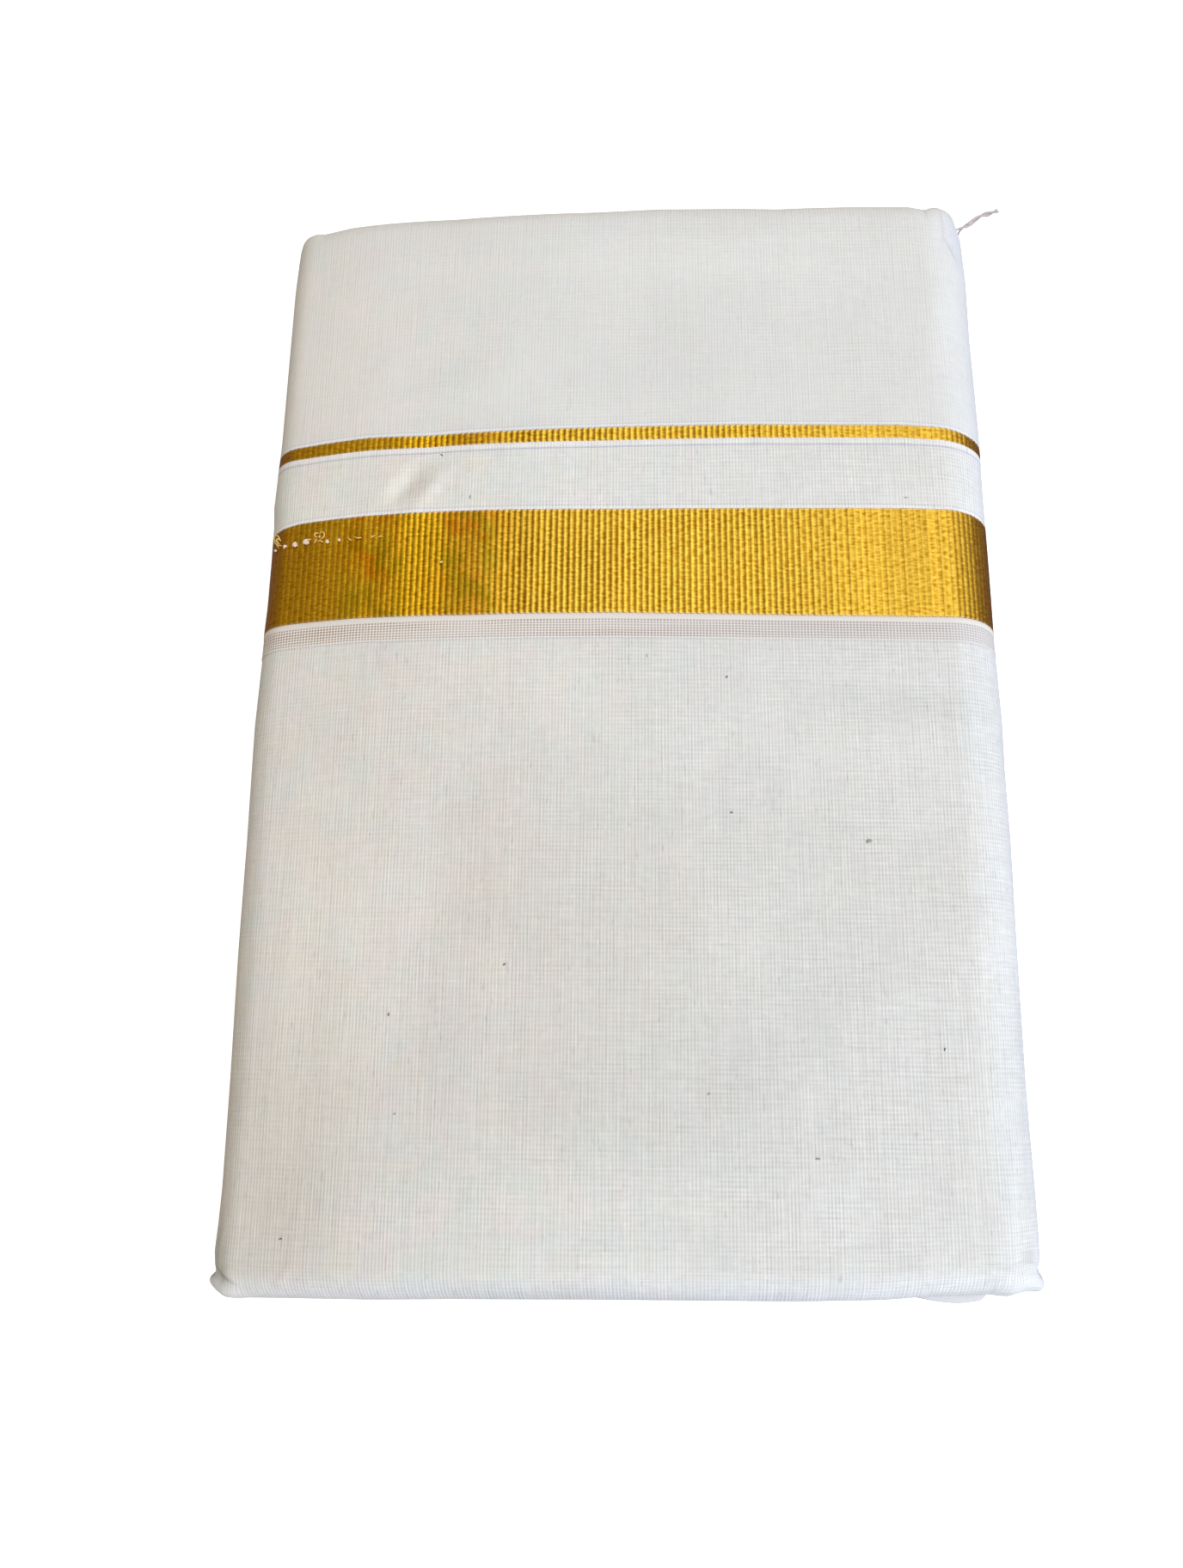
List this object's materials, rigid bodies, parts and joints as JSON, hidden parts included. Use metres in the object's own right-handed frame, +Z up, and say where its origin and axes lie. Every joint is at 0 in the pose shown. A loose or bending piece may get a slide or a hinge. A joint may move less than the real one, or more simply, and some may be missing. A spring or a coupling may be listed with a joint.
{
  "type": "folded dhoti cloth",
  "caption": "White cotton dhoti folded and rolled flat into a rectangular pack, with ribbed gold borders woven across its upper ply and round both side folds.",
  "frame": {"origin": "middle of the flat underside, on the surface that the pack lies on", "axes": "+X across the pack to its thicker side fold, +Y along it from the plain near end to the bordered far end, +Z up"},
  "size_m": [0.2683, 0.3831, 0.04],
  "materials": {
    "white_cotton": "matt bleached cotton, fine plain weave",
    "sheer_cotton": "open gauzy selvedge weave",
    "gold_yarn": "lustrous metallic gold yarn over warp ribs"
  },
  "bodies": {
    "root": {"folded_core": "white_cotton", "body_ply": "white_cotton", "selvedge_strip": "sheer_cotton", "wide_gold_band": "gold_yarn", "band_gap_cloth": "white_cotton", "thin_gold_band": "gold_yarn", "flap_cloth": "white_cotton", "loose_yarn": "white_cotton"}
  },
  "joints": []
}
